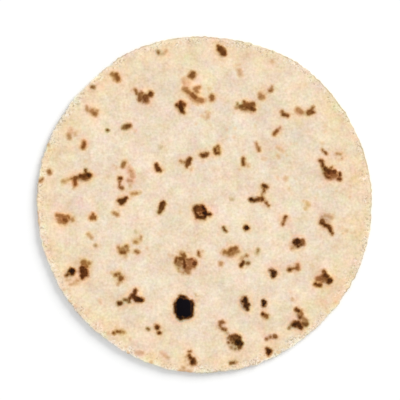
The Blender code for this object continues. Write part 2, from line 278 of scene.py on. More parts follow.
# Long marks, each a stroke with round ends: x, y, x, y, half width, and browning.
TOASTED_STREAKS = (
    # y 60 to 120
    (-80.2, 83.6, -79, 83.2, 1.5, 0.74), (-84, 69.3, -83.7, 67, 1.5, 0.55),
    (-81, 66.5, -79.5, 64.8, 1.7, 0.62), (-79.5, 65, -77.8, 63.8, 1.6, 0.66),
    (-76.8, 67, -76.8, 64.5, 1.2, 0.6), (-79.8, 67.8, -79.5, 66, 1.1, 0.6),
    (-66, 92.6, -64, 91.3, 1.9, 0.62), (-63.2, 92.3, -61.8, 88.8, 2, 0.74),
    (-65.5, 91.8, -64.8, 90.8, 1.5, 0.48), (-64.5, 89, -64, 90, 1.2, 0.55),
    (-49.4, 81.4, -48.2, 79, 1.4, 0.7), (-46.5, 78, -46, 74.5, 1.8, 0.72),
    (-44.6, 79.8, -44.4, 78, 1.4, 0.68), (-42.3, 76.5, -41.8, 74, 2.3, 0.76),
    (-43.5, 73.3, -40.5, 73, 1.3, 0.68), (-43.5, 76, -40, 77.5, 1.6, 0.8),
    (-38.4, 79, -38, 78.2, 2.1, 0.84), (-33.3, 108.9, -33, 108, 1.4, 0.7),
    (-31.5, 107.3, -29.5, 107.3, 1.1, 0.4), (-28.6, 108.3, -27.3, 109.3, 1.2, 0.45),
    (11.4, 110.5, 13.2, 108.3, 2.8, 0.84), (13.8, 110.3, 14.3, 109.8, 1.6, 0.7),
    (11, 103.5, 14, 102.5, 0.9, 0.2), (-8.4, 92.9, -8.7, 91.7, 2.5, 0.76),
    (-10.6, 91, -8.5, 90.2, 1.7, 0.68), (-14.8, 89, -14, 86.3, 1.8, 0.36),
    (-12, 88.3, -10.7, 86, 1.8, 0.26), (-14.3, 81.8, -12.7, 82, 1.9, 0.58),
    (-12.8, 81, -9.5, 78.5, 1.8, 0.64), (-9, 78, -6.6, 75.8, 2, 0.72), (-6, 75, -2, 73.8, 2.2, 0.6),
    (-2, 73.5, 0.5, 74.2, 1.5, 0.38), (-8, 74, -5, 72.3, 1.7, 0.4), (-6.8, 82, -4, 83.2, 1.8, 0.6),
    (-6, 81.5, -5, 80, 1.6, 0.56), (-4.5, 79.5, -5.5, 78, 1, 0.35), (5.3, 76.8, 5.3, 74.9, 2.1, 0.7),
    (-17, 72.4, -16.5, 71, 1.9, 0.86), (-19.8, 70.6, -18.5, 70.2, 1.5, 0.88),
    (-17.4, 69.8, -16.3, 67.4, 2.1, 0.88), (-14.4, 71.5, -14.4, 70.2, 1.6, 0.82),
    (-16.2, 66.3, -15, 65.6, 1.6, 0.86), (24.6, 95.5, 25.6, 92.8, 1.7, 0.38),
    (22, 99, 25, 99.5, 1, 0.18), (46.6, 80.9, 47.8, 81.4, 1.6, 0.68), (48.1, 82, 48.3, 84, 1.2, 0.56),
    (39.8, 78.4, 40.2, 77, 1.8, 0.56), (39.9, 76.6, 41.8, 76.3, 2, 0.58),
    (23.6, 72, 23.6, 71, 1.2, 0.62), (23, 68.8, 24.5, 69, 1.5, 0.56),
    (25.5, 69.4, 28, 69.8, 1.7, 0.78), (28.3, 72.8, 29, 71, 1.6, 0.78),
    (29.5, 72.2, 33, 72, 1.4, 0.73), (29.5, 70.5, 34.5, 71.1, 2.1, 0.79),
    (30.5, 69.2, 32.6, 68.9, 1.8, 0.8), (33.5, 68.3, 35, 67.5, 1.9, 0.84),
    (35, 72, 35.3, 70, 1.3, 0.76), (27, 67.9, 30, 67.6, 1.5, 0.68), (55.5, 65.9, 56, 64.5, 1.4, 0.72),
    (56.5, 63.8, 59.4, 63, 1.6, 0.8), (66.8, 67.4, 69.2, 65.6, 2.1, 0.56),
    (68.3, 64.4, 71, 64.3, 1.1, 0.34), (74.4, 65.1, 75.5, 65.6, 2.3, 0.75),
    (76, 66.8, 77.6, 68.8, 1.4, 0.7), (76.5, 65.5, 78, 65.5, 1.4, 0.8),
    (2.5, 64.5, 2.3, 62, 1.5, 0.33), (-2, 63, 0, 62, 1.2, 0.2),
    # y 0 to 60
    (-96.9, 49.2, -96.5, 47.3, 2, 0.52), (-95.2, 53.3, -95.4, 51, 1.6, 0.33),
    (-92.2, 51, -92.2, 49.7, 1.3, 0.38), (-86.2, 43.8, -86, 42, 1.6, 0.8),
    (-86, 42, -87, 40.3, 1.9, 0.74), (-86.1, 45, -86.1, 44, 0.9, 0.7),
    (84.2, 38.5, 87, 36.1, 1.2, 0.72), (94.5, 35.9, 97.5, 35.8, 1.2, 0.52),
    (-57.3, 54.6, -55.5, 55, 2.2, 0.72), (-55.5, 55.2, -53.8, 55.8, 2, 0.8),
    (-57.3, 29.4, -58.3, 27, 1.9, 0.64), (-54, 26.5, -53, 25, 1.4, 0.35),
    (-53, 23.7, -51.8, 23.2, 1.6, 0.48), (-51.6, 21.5, -51.5, 19.5, 1.9, 0.44),
    (-54, 16.8, -52, 16.2, 1.6, 0.46), (-52.8, 14.5, -53, 12.8, 1.1, 0.35),
    (-60.8, 18.3, -59.5, 18.3, 1.5, 0.84), (-34.5, 27.9, -34, 27, 1.5, 0.88),
    (-34, 26.5, -32.5, 24.5, 2, 0.86), (-33.8, 24, -31.3, 23.8, 1.4, 0.84),
    (9.6, 41.3, 8.5, 40.3, 1.2, 0.78), (7.4, 39.3, 7.8, 37.3, 1.4, 0.82),
    (8.5, 36.3, 9.8, 36.3, 1.4, 0.86), (10.3, 37.3, 10.2, 39.4, 1, 0.76),
    (-1.6, 34.6, 1, 34.8, 1.7, 0.84), (1, 35.8, 2.4, 36.3, 1.1, 0.8),
    (-10.5, 31.9, -11.3, 29.5, 1.9, 0.84), (-11.8, 29, -12.8, 27, 1.4, 0.82),
    (-17.2, 30.6, -14.2, 29.5, 1.1, 0.7), (-12.3, 31, -12.6, 29.5, 1.3, 0.83),
    (27.7, 32.3, 27.8, 28.3, 1.5, 0.81), (31.2, 28.2, 31.4, 26.8, 1.2, 0.35),
    (38.7, 39.7, 39, 38.3, 1.3, 0.72), (38, 41, 37, 43.8, 1, 0.64),
    (41.5, 32.2, 43.5, 32.2, 1.2, 0.25), (49.8, 49.8, 51.7, 52.2, 1.6, 0.74),
    (52.3, 53.3, 54, 54.4, 1.3, 0.56), (54, 54, 56, 53.5, 0.8, 0.25), (52, 40.5, 56, 37.5, 1.2, 0.3),
    (52.3, 34.5, 53, 33.5, 1.1, 0.25), (-110.9, 23.4, -110.7, 22.4, 1.9, 0.7),
    (-117.3, 16.3, -115.8, 17.8, 1.1, 0.68), (-101, 16.2, -99.5, 16.4, 1.3, 0.5),
    (-98.5, 16.8, -95.5, 18, 0.9, 0.5), (-95, 18.1, -91, 19.2, 1, 0.7),
    (-88.3, 19.7, -84, 20.3, 2.1, 0.84), (-86.8, 18.2, -83.2, 18.5, 1.6, 0.78),
    (-93.5, 18.9, -89, 19.2, 1.1, 0.74), (-88, 18.5, -86, 17.7, 1.4, 0.76),
    (-83.5, 20.6, -81.9, 20.3, 2.1, 0.92), (-84.9, 24.3, -84.5, 22.5, 1.2, 0.9),
    (-92.3, 18.5, -92.4, 14, 1.7, 0.77), (-92.8, 12.5, -93, 11.2, 1, 0.5),
    (82.8, 31, 83.8, 30.5, 1.6, 0.82), (84.3, 30, 84.5, 27, 1.4, 0.85),
    (86.3, 25, 89, 22.5, 2.2, 0.86), (88.5, 23, 92.8, 23, 2.2, 0.84),
    (86, 22.3, 87.8, 19.3, 1.6, 0.76), (88.2, 18.9, 90, 18.6, 1.3, 0.82),
    (91, 20.7, 94, 20.5, 1.8, 0.72), (91, 18.9, 94.5, 18.7, 1.3, 0.66),
    (96.5, 21.8, 96.6, 20, 1.5, 0.86), (95.6, 17.9, 97, 17.7, 1.6, 0.88),
    (-60.5, 17, -60.5, 12.5, 1, 0.7), (-60.5, 12, -58.5, 11.2, 1.5, 0.72),
    (-61, 2.2, -58.5, 2.3, 1.7, 0.88), (-59.7, 1.2, -57.4, 2.4, 1.9, 0.88),
    (-59.7, 0.2, -59.5, 0.4, 1.3, 0.86), (-58.5, 2.8, -55.6, 4.3, 1.5, 0.86),
    (-59.5, 1.2, -58.7, 0.7, 1.6, 0.9), (-51.9, 7.3, -48.4, 7.9, 1.2, 0.54),
    (-48, 8, -45.8, 8.1, 1, 0.38), (18.8, 3.6, 20.3, 3.3, 0.8, 0.45), (42.1, 13, 44.2, 12.1, 1.8, 0.85),
    (42.9, 10.7, 42.7, 9.3, 1.2, 0.82), (41.6, 8.6, 41, 6.6, 1, 0.6),
    (35.3, 2.6, 38.5, 3.1, 1.8, 0.82), (38.5, 3.7, 41, 4, 1.7, 0.82), (42.6, 2.7, 44, 1, 1, 0.7),
    (44, 1, 45.8, -1.2, 1.1, 0.77),
    # y -60 to 0
    (-105.2, -8, -101.5, -8.8, 1.7, 0.64), (-101, -9.5, -98, -9, 1.8, 0.66),
    (-100.3, -11.5, -99.2, -11.8, 2.1, 0.76), (-102.7, -11.4, -99.7, -13.3, 1.9, 0.6),
    (-94.2, -10.6, -94.2, -11.8, 1.6, 0.55), (-104.3, -11.2, -104, -12.6, 1.5, 0.54),
    (-96, -10.8, -96, -11, 1.2, 0.6), (-80.7, -10.1, -78.5, -9.9, 2, 0.74),
    (73.5, 0.3, 73.8, -0.8, 1.6, 0.36), (-29.8, 0.1, -30.9, -3, 2.3, 0.85),
    (-30.9, -3.2, -32.2, -5.8, 1.8, 0.78), (-64.4, -6.3, -62.2, -7.8, 1.6, 0.58),
    (-5.9, -2.2, -1.7, -2.2, 1.8, 0.84), (-1.5, -1.8, 0.6, -4.6, 1.6, 0.93),
    (-7, -4.5, -5.2, -8.5, 1.6, 0.86), (-5, -9.4, -0.7, -9.7, 1.6, 0.88),
    (-5, -4.6, -2, -4.4, 1.9, 0.82), (-0.6, -6.2, 1, -6.3, 1.7, 0.94), (0.5, -6.9, 4, -7.4, 1.7, 0.94),
    (0.4, -8, 0.2, -10, 1.6, 0.9), (-5.5, -12.2, 1.8, -12.6, 0.8, 0.14),
    (14.2, -18.4, 15.5, -19.4, 1, 0.92), (57.3, -10.6, 56.7, -12.8, 1.4, 0.73),
    (58.5, -9.3, 59.4, -9.7, 0.8, 0.5), (29.2, -17, 30.6, -17, 1.7, 0.95),
    (30.1, -16.2, 30, -18, 1.5, 0.95), (-83, -21.4, -80.7, -24, 1.4, 0.46),
    (-45.2, -23.2, -45.5, -25.3, 1.2, 0.52), (-49.4, -27, -48.7, -27.4, 1.5, 0.58),
    (-61.3, -31, -60.6, -33.5, 1.3, 0.59), (-59.2, -34.3, -57, -34.8, 1.8, 0.77),
    (-56.4, -30.2, -55.4, -30.2, 1.3, 0.72), (-55, -31, -54.8, -33.5, 1.2, 0.64),
    (-49, -33.7, -47.3, -34.6, 1.5, 0.66), (-25.5, -36.5, -21.5, -37.5, 0.9, 0.3),
    (-95.8, -47.8, -94.4, -49, 2, 0.93), (-98, -50.6, -96.4, -49.8, 1.3, 0.88),
    (-87.2, -46, -87, -48.5, 2.3, 0.88), (-84.8, -47.3, -84.4, -50.5, 1.9, 0.85),
    (-87.6, -51.4, -87, -52.4, 1.9, 0.86), (-98.5, -54.5, -95.5, -54, 1, 0.34),
    (-91.5, -54.3, -90, -55, 1, 0.52), (-93, -56, -91.5, -54.8, 0.9, 0.42),
    (-95.8, -57.6, -93.5, -57.2, 0.9, 0.46), (-92.5, -57, -91, -57.2, 0.9, 0.4),
    (-66.3, -49.3, -64, -49.5, 0.9, 0.38), (-60, -52.2, -58.8, -53, 1.8, 0.7),
    (-60.7, -55, -61.5, -57.3, 1.3, 0.48), (83.2, -13.3, 85.8, -14.8, 1.6, 0.88),
    (85.7, -14.8, 88.5, -16.1, 1.7, 0.87), (88.4, -16, 90, -18.5, 1.6, 0.86),
    (90, -18.7, 91.1, -20.9, 1.5, 0.87), (86, -8.2, 90.6, -9.6, 1.7, 0.42),
    (86, -11, 87, -11.6, 1, 0.5), (-16.6, -34.7, -14.8, -35.3, 1.3, 0.56),
    (-15, -36, -13.9, -37.4, 1.6, 0.75), (-17.5, -39, -15.6, -38.8, 2.1, 0.79),
    (-13.4, -37.9, -13, -38.4, 1.1, 0.64), (-20, -38.7, -20.4, -41.6, 1.4, 0.79),
    (-19.3, -43, -17.3, -43.6, 1.6, 0.6), (-14.6, -40.5, -14.1, -45, 1.6, 0.86),
    (-16.3, -42, -16, -43, 1, 0.7), (-12.6, -39.7, -9, -39.6, 1.4, 0.76),
    (-9, -39.5, -6.6, -40.8, 1.3, 0.72), (-9.8, -44.2, -7.5, -45, 1.3, 0.7),
    (-13, -45.5, -10.5, -46, 1.8, 0.66), (-13, -47, -11.5, -48.8, 2, 0.6),
    (-18, -48, -16.3, -48.8, 0.9, 0.5), (-4.3, -34.3, -4, -36.3, 1.1, 0.76),
    (19, -32.6, 22.3, -31.8, 2, 0.73), (22, -34.6, 24.4, -34.3, 1.5, 0.6),
    (22, -33, 23.1, -32.3, 1.7, 0.56), (14.5, -34.5, 17, -34.9, 1.9, 0.63),
    (17.8, -36.2, 20, -36, 1.7, 0.62), (16.8, -34.6, 18.6, -33.3, 1.4, 0.76),
    (26.5, -38.7, 28.5, -38, 1.1, 0.46), (38.4, -32.5, 38.2, -34, 1.1, 0.68),
    (27.8, -41.4, 26.4, -43.4, 1.6, 0.87), (30, -42.3, 31.6, -42.5, 1.2, 0.78),
    (46.8, -47.3, 48.4, -48, 1.2, 0.88), (48.6, -47.9, 49.8, -48.8, 1.5, 0.9),
    (60.6, -46.9, 61.7, -46.9, 1.7, 0.85), (63, -46, 65.5, -46, 1.2, 0.68),
    (66.4, -43.8, 66.6, -46.5, 1.7, 0.68), (69.9, -26, 70.5, -28.2, 1.8, 0.76),
    (86, -50.3, 87.6, -52.2, 1.9, 0.88), (80.8, -53.6, 84.3, -53.6, 2.1, 0.68),
    (80.5, -57.8, 83, -58.1, 1.5, 0.87), (-118.7, -10, -118.2, -15, 0.7, 0.26),
    # y -120 to -60
    (-49.4, -62, -49.8, -64.3, 1.5, 0.86), (-51.5, -64.7, -53, -67, 1.3, 0.84),
    (-50.3, -64.2, -50.2, -66.5, 1.4, 0.84), (-53.5, -67.6, -53.8, -69.9, 1.4, 0.82),
    (-57.4, -68.3, -54.8, -68.8, 1.2, 0.76), (-51, -65.6, -48.6, -67.5, 1.8, 0.88),
    (-48, -68, -45, -68.4, 2.1, 0.93), (-61.2, -71.2, -59.8, -71, 1.7, 0.86),
    (-75, -68.3, -74.3, -70.8, 0.9, 0.3), (-62.5, -91.1, -60.3, -91.4, 1.5, 0.75),
    (-59.6, -90.6, -57.8, -91.6, 1.4, 0.62), (-40.8, -89.1, -39.9, -89.4, 1.3, 0.72),
    (-32.6, -92, -32, -92, 1.4, 0.92), (-30.5, -106.3, -29, -107.5, 1.2, 0.32),
    (-28.5, -108.5, -26, -110, 1.3, 0.36), (-48.2, -106.2, -44.5, -106.5, 1.5, 0.34),
    (-11.2, -105.3, -10, -105.3, 1, 0.83), (-10.9, -108.3, -9.7, -110, 1.5, 0.9),
    (-18, -119, -14, -119.2, 0.9, 0.4), (-12, -119.2, -9.5, -119.3, 0.7, 0.45),
    (-17.3, -70, -17.3, -77.5, 3.4, 1.1), (-13, -71, -12.8, -77.8, 3.4, 1.15),
    (-17, -66.5, -13.9, -67.4, 1.9, 0.94), (-9.3, -71.6, -9.8, -77.3, 2.3, 0.96),
    (-19.9, -71.3, -20.1, -77, 2.1, 0.91), (29.4, -70, 29.7, -71, 1.9, 0.9),
    (29.7, -73, 30.5, -74.7, 1.7, 0.91), (42.2, -69.5, 43.1, -70.3, 1.8, 0.95),
    (42.6, -70.5, 42.3, -72.2, 1.8, 0.96), (43.2, -79.7, 44.4, -80.2, 2, 0.74),
    (11.4, -84.6, 12.9, -84.5, 1.7, 0.73), (11.1, -85.8, 11.3, -87.1, 1.4, 0.67),
    (11.5, -88.1, 13, -89.2, 1.3, 0.66), (13, -89.2, 15.3, -90.1, 1.4, 0.78),
    (15.5, -91, 17, -92.7, 1.1, 0.46), (20, -94.5, 23.3, -94.2, 1.7, 0.86),
    (18.4, -113.6, 21, -113.4, 1.3, 0.81), (21.5, -113, 23.3, -113.2, 0.9, 0.6),
    (44.6, -96.3, 47, -95.1, 0.9, 0.5), (47.2, -95, 49.5, -94.4, 1, 0.52),
    (65.3, -75.3, 67.4, -76.3, 1.6, 0.88), (68.8, -76.7, 69.3, -79, 1.8, 0.66),
    (70, -81.2, 72.6, -83.8, 1.8, 0.62), (63.5, -86, 67, -84.9, 1.9, 0.9),
    (67, -86, 69, -88, 2.1, 0.89), (70, -85.2, 71.5, -86, 1.6, 0.84),
)

# Broad soft patches where the dough baked to another tint: how far red, green and blue
# change there, as shares, and the x, y and half width of each patch in millimetres.
DOUGH_TINTS = {
    "tan": ((0.00, -0.035, -0.08), (
        (112, 22, 18), (112, -14, 12), (99, -58, 16), (8, 114, 8), (-76, 86, 12), (-115, 3, 12),
        (-40, -111, 12),
    )),
    "olive": ((-0.01, -0.005, -0.06), (
        (96, -80, 12), (95, 72, 16), (70, 100, 10), (-14, 100, 12), (-112, 36, 10), (75, -104, 10),
    )),
    "grey": ((-0.03, -0.02, 0.00), (
        (18, 57, 15), (38, 64, 13), (66, 53, 12), (60, -100, 10),
    )),
    "mauve": ((-0.01, -0.025, 0.01), (
        (-92, -2, 12), (-66, -101, 12), (-14, -64, 8),
    )),
    "pale": ((0.07, 0.07, 0.07), (
        (-100, 49, 10), (-16, 78, 9), (-10, -9, 8), (-93, 22, 7), (14, -32, 7), (-66, -61, 8),
    )),
    "dusky": ((-0.07, -0.07, -0.07), (
        (-6, 113, 12), (94, 9, 10), (-44, 70, 9), (-26, 58, 10), (106, 40, 9),
    )),
    "rosy": ((0.02, -0.05, -0.03), (
        (-44, 69, 10), (64, 63, 8), (16, 112, 8), (89, -69, 8), (-79, -34, 8), (-61, 95, 8),
    )),
    "greenish": ((-0.04, 0.02, 0.00), (
        (-14, 65, 8), (24, -17, 8), (93, -55, 9), (-90, 30, 8), (3, 45, 10), (54, 74, 8),
    )),
    "chalky": ((0.00, 0.01, 0.09), (
        (2, -112, 12), (-48, -102, 10), (31, -94, 9), (100, 25, 9), (62, 94, 12), (79, 81, 9),
    )),
    "buttery": ((0.00, -0.01, -0.09), (
        (42, 80, 9), (66, 63, 10), (-90, -9, 9), (-79, -32, 8), (3, 88, 8),
    )),
}

# Patches where the toasted marks are of another hue, given in the same way.
CRUST_HUES = {
    "green": ((-0.10, 0.04, 0.06), (
        (-69, 52.5, 4), (-57.5, 54.5, 6), (-33, 108, 5), (-80, 83.5, 5), (-84.5, 24, 4),
        (-61, -71, 6), (-55, -69.5, 4), (-40, -89, 4), (25, -99, 7), (-17, -82, 5), (38, -33, 5),
        (31, -42, 4), (14, -18, 5), (-32.5, -5.5, 4), (-78, -30, 4), (73, -86, 4), (24, 71, 4),
        (61, -88.5, 4), (-31, 40.5, 4), (20, 3.5, 4), (19, -114, 5), (-49, -20, 4),
    )),
    "yellow": ((-0.01, 0.00, -0.13), (
        (-100, 16, 6), (-49.5, -27, 5), (-84, -42, 6), (-49, 8, 8), (-57, -32, 7), (-17, 67, 5),
        (-20, -46, 5), (-61, -91, 7), (-64, -50, 5), (15, -34.5, 5), (73, -1, 5), (-63, 91, 7),
        (81, -58, 5), (10, 38, 6),
    )),
    "red": ((0.07, -0.05, 0.00), (
        (-17, 72.5, 5), (83, -53.5, 6), (-52, 21, 9), (-87, -48, 7), (-11, -43, 7), (92, 20, 7),
        (-1, -5, 5), (67, -44, 6),
    )),
    "orange": ((0.08, -0.04, -0.11), (
        (-102, -9, 9), (-92.3, 15.5, 5), (-10, 81, 10), (-86, 43, 6), (-80, -9, 5), (-4, 74, 6),
    )),
    "mauve": ((0.00, 0.00, 0.14), (
        (-50, -66, 8), (85, -9, 7), (12, -87, 7), (-60, 13, 5), (53, 54, 5), (-42, 73.5, 5),
        (67, -86, 7), (-8, -112, 6), (47, 82, 5), (19, -95, 6), (48, -95, 7),
    )),
    "cool": ((-0.07, 0.03, 0.24), (
        (42.3, -70.3, 6), (29, -71, 8), (34, 3, 5), (48.5, -49.5, 6), (67, -27, 7), (-13, -75, 16),
    )),
}

# The marks of the underside come in groups: how many, how far out they reach and how far
# apart they are.
UNDERSIDE_GROUPS = 70
UNDERSIDE_REACH_MM = 112
UNDERSIDE_SPACING_MM = 12

# One group: fewest and most marks, how far they spread and how long they are, the least and
# most half width and browning, and the least and most share of that browning in one mark.
GROUP_MARKS = (1, 5)
GROUP_SPREAD_MM = 3.2
GROUP_STROKE_MM = 1.1
GROUP_HALF_WIDTH_MM = (0.8, 2.6)
GROUP_BROWNING = (0.25, 0.95)
GROUP_BROWNING_SHARE = (0.75, 1.1)

# ---------------------------------------------------------------------------- the finish

# What a flat white surface would send back under the stage's light.
AMBIENT_LIGHT = 0.71
SUN_ON_TOP = 0.36
LIGHT_ON_TOP = AMBIENT_LIGHT + SUN_ON_TOP


def lit_colour(red, green, blue):
    """The base colour, scene linear, of a surface that the stage's light shows as this sRGB.

    Each channel goes through the sRGB curve, then is divided by the light on a flat face.
    """
    shown = np.array((red, green, blue)) / 255
    linear = np.where(shown > 0.04045, ((shown + 0.055) / 1.055) ** 2.4, shown / 12.92)
    return tuple(float(value) for value in linear / LIGHT_ON_TOP)


# The ramp of the crust, from barely tinted to charred: share of browning, and colour.
CRUST_STOPS = (
    (0.10, lit_colour(238, 207, 172)),
    (0.22, lit_colour(230, 196, 158)),
    (0.35, lit_colour(217, 179, 137)),
    (0.50, lit_colour(193, 148, 101)),
    (0.65, lit_colour(158, 111, 64)),
    (0.75, lit_colour(132, 83, 40)),
    (0.85, lit_colour(98, 55, 20)),
    (0.93, lit_colour(60, 30, 8)),
    (1.00, lit_colour(14, 9, 13)),
)
FLECK = lit_colour(172, 150, 120)
# Colours painted on the rim against its shading: the pale one is painted light on the rim's rounding and
# on the band inside it, where it also looks like flour; the darker one is painted shade on the side
# facing the main light.
PALE_EDGE = lit_colour(255, 245, 224)
SUNLIT_EDGE_SHADE = lit_colour(205, 187, 157)

# Each noise: the size of its largest lumps in millimetres, how many finer layers lie over
# them, how strong those are, and a shift that keeps two noises from looking alike.
NOISES = {
    "light": (18, 5, 0.95, 0),
    "fine light": (1.9, 0, 0.5, 11),
    "pink": (11, 3, 0.8, 41),
    "yellow": (10, 3, 0.8, 83),
    "outline": (2.2, 1, 0.5, 7),
    "fine outline": (0.7, 1, 0.5, 19),
    "crust shade": (1.8, 2, 0.5, 29),
    "halo": (3.0, 2, 0.6, 61),
    "pores": (1.5, 3, 0.65, 3),
    "crisp crust": (0.9, 2, 0.7, 13),
    "rim warmth": (16, 3, 0.7, 5),
    "rim yellow": (9, 2, 0.5, 27),
    "floured band": (9, 2, 0.5, 31),
    "crowding": (13, 1, 0.5, 57),
    "flour": (1.4, 2, 0.8, 9),
    "flecks": (1.5, 2, 0.6, 15),
    "ragged edge": (1.4, 2, 0.5, 47),
    "floor": (300, 1, 0.5, 0),
}

# How much of the light, pink and yellow noises reaches red, green and blue, and how much of
# the fine light is added to the light.
MOTTLING_SHARES = (
    (0.75, 0.08, 0.00),
    (0.81, -0.44, 0.08),
    (0.99, -0.44, -0.53),
)
FINE_LIGHT_SHARE = 0.28

# How far the two outline noises move the outline of a mark.
OUTLINE_SWING_MM = 1.4
FINE_OUTLINE_SWING_MM = 0.8

# How much of its browning a mark has on its outline, how much that falls for each
# millimetre outwards, and how softly it starts from none and ends at all of it.
TOAST_ON_OUTLINE = 0.555
TOAST_FALL_PER_MM = -0.43
TOAST_SOFT_START = 0.15
TOAST_SOFT_END = 0.2

# How uneven the crust and the halo are, and how softly the halo ends at its full tint.
CRUST_UNEVENNESS = 0.25
HALO_UNEVENNESS = 2.0
HALO_SOFT_END = 0.3

# The relief of the dough's pores and of the crisp crust.
PORE_HEIGHT_MM = 0.11
CRISP_HEIGHT_MM = 0.3

# Where each effect of the rim starts and is full, on a scale that is 0 in the middle, 1
# where the rim starts to round and nearly 2 below it, and how far noise moves that place.
WARM_RIM = (0.70, 1.06)
WARM_RIM_SWING = 0.3
FLOURED_BAND = (0.945, 0.985)
FLOURED_BAND_SWING = 0.09
PALE_BAND = (0.974, 1.000)
OUTERMOST = (0.995, 1.040)
RAGGED_SWING = 0.02

# The values of their noises at which the yellower rim, the flour and the flecks start and
# are full, and how far the crowding moves the last two.
YELLOW_RIM_FROM = (-0.12, 0.12)
FLOUR_FROM = (0.03, 0.10)
FLECKS_FROM = (0.05, 0.14)
CROWDING_SWING = 0.35

# How much each colour of the rim covers what lies under it, and the flour of the underside.
PALE_BAND_COVER = 0.22
OUTERMOST_COVER = 0.9
FLOUR_COVER = 0.7
FLECK_COVER = 0.55
UNDERSIDE_FLOUR = 0.1

# The browning over which the crust hides the dough, and over which its roughness changes.
CRUST_COVERS = (0.0, 0.16)
CRUST_SMOOTHS = (0.3, 1.0)
DOUGH_ROUGHNESS = 0.82
DARK_CRUST_ROUGHNESS = 0.72
DOUGH_SPECULAR = 0.05

FLOOR_ROUGHNESS = 0.9
FLOOR_UNEVENNESS = 0.05


# --------------------------------------------------------------------------- the settings

class PIADINA_PG_bread(bpy.types.PropertyGroup):
    """Sizes and colours of the bread."""

    diameter: FloatProperty(
        name="Diameter", description="Mean width of the bread",
        default=0.240, min=0.15, max=0.30, unit="LENGTH")
    thickness: FloatProperty(
        name="Thickness", description="Thickness of the body of the bread",
        default=0.0030, min=0.002, max=0.008, unit="LENGTH")
    rim_thickness: FloatProperty(
        name="Rim thickness", description="Thickness of the rounded rim",
        default=0.0022, min=0.001, max=0.008, unit="LENGTH")
    rim_lift: FloatProperty(
        name="Rim lift", description="How far the rim stands off the surface below it",
        default=0.0007, min=0.0005, max=0.003, unit="LENGTH")
    cells: IntProperty(
        name="Cells", description="Cells across the upper face, a multiple of four",
        default=264, min=64, max=264, step=4)
    rim_rows: IntProperty(
        name="Rim rows", description="Rows of faces round the rim",
        default=8, min=3, max=8)
    dough: FloatVectorProperty(
        name="Dough", description="Colour of the plain baked dough",
        default=lit_colour(239.5, 219.5, 193), subtype="COLOR", min=0, max=1)
    rim: FloatVectorProperty(
        name="Rim", description="Colour of the dough at the rim",
        default=lit_colour(242, 214, 180), subtype="COLOR", min=0, max=1)
    rim_yellow: FloatVectorProperty(
        name="Rim, yellower", description="Colour of the yellower patches at the rim",
        default=lit_colour(240, 219, 181), subtype="COLOR", min=0, max=1)
    halo: FloatVectorProperty(
        name="Halo", description="Colour of the dough around a toasted mark",
        default=lit_colour(248, 203, 158), subtype="COLOR", min=0, max=1)
    flour: FloatVectorProperty(
        name="Flour", description="Colour of the flour that clings to the dough",
        default=lit_colour(254, 242, 222), subtype="COLOR", min=0, max=1)
    mottling: FloatProperty(
        name="Mottling", description="How uneven the colour of the dough is",
        default=1.0, min=0, max=2, subtype="FACTOR")


class PIADINA_PG_stage(bpy.types.PropertyGroup):
    """The floor, the light and the camera."""

    floor_size: FloatProperty(
        name="Floor size", description="Width of the floor",
        default=8.0, min=1, max=20, unit="LENGTH")
    floor: FloatVectorProperty(
        name="Floor", description="Colour of the floor",
        default=(0.98, 0.98, 0.98), subtype="COLOR", min=0, max=1)
    sun_elevation: FloatProperty(
        name="Sun elevation", description="Height of the main light above the horizon",
        default=math.radians(24), min=0.1, max=1.5, subtype="ANGLE")
    sun_azimuth: FloatProperty(
        name="Sun azimuth", description="Direction that the main light comes from, from +X",
        default=math.radians(45), subtype="ANGLE")
    sun_softness: FloatProperty(
        name="Sun softness", description="Angle that the main light fills in the sky",
        default=math.radians(34), min=0, max=3.1, subtype="ANGLE")
    lens: FloatProperty(
        name="Lens", description="Focal length of the camera, in millimetres",
        default=100.0, min=20, max=400)


# ----------------------------------------------------------------------- rules for shapes

def smooth_step(start, end, value):
    """0 up to start and 1 from end, with the smooth cubic rise s*s*(3 - 2*s) between them."""
    share = np.clip((value - start) / (end - start), 0, 1)
    return share * share * (3 - 2 * share)


def ripple(angle, fewest, most, height, seed):
    """Fine waves round the bread.

    The sum of one cosine for each whole number of waves from fewest to most, with a random
    crest each and a height that falls as the root of that number, scaled so that the root
    mean square of the sum is the height asked for.
    """
    counts = np.arange(fewest, most + 1)
    crests = np.random.default_rng(seed).uniform(0, FULL_TURN, counts.size)
    heights = counts ** -0.5
    heights *= height / math.sqrt(np.sum(heights ** 2) / 2)
    return np.cos(np.multiply.outer(angle, counts) - crests) @ heights


def lumps(x, y, size, seed):
    """Soft random lumps from -1 to 1, about size across.

    Random values on a square lattice of that spacing, turned by a random angle, and eased
    from each lattice point to the next by a cubic in both directions.
    """
    draw = np.random.default_rng(seed)
    turn = draw.uniform(0, FULL_TURN)
    lattice = draw.uniform(-1, 1, (LATTICE_POINTS, LATTICE_POINTS))
    across = (x * math.cos(turn) - y * math.sin(turn)) / size
    along = (x * math.sin(turn) + y * math.cos(turn)) / size
    column = np.floor(across).astype(int)
    row = np.floor(along).astype(int)
    ease_across = smooth_step(0, 1, across - column)
    ease_along = smooth_step(0, 1, along - row)
    rows = []
    for step in (0, 1):
        line = (row + step) % LATTICE_POINTS
        left = lattice[line, column % LATTICE_POINTS]
        right = lattice[line, (column + 1) % LATTICE_POINTS]
        rows.append(left * (1 - ease_across) + right * ease_across)
    near, far = rows
    return near * (1 - ease_along) + far * ease_along


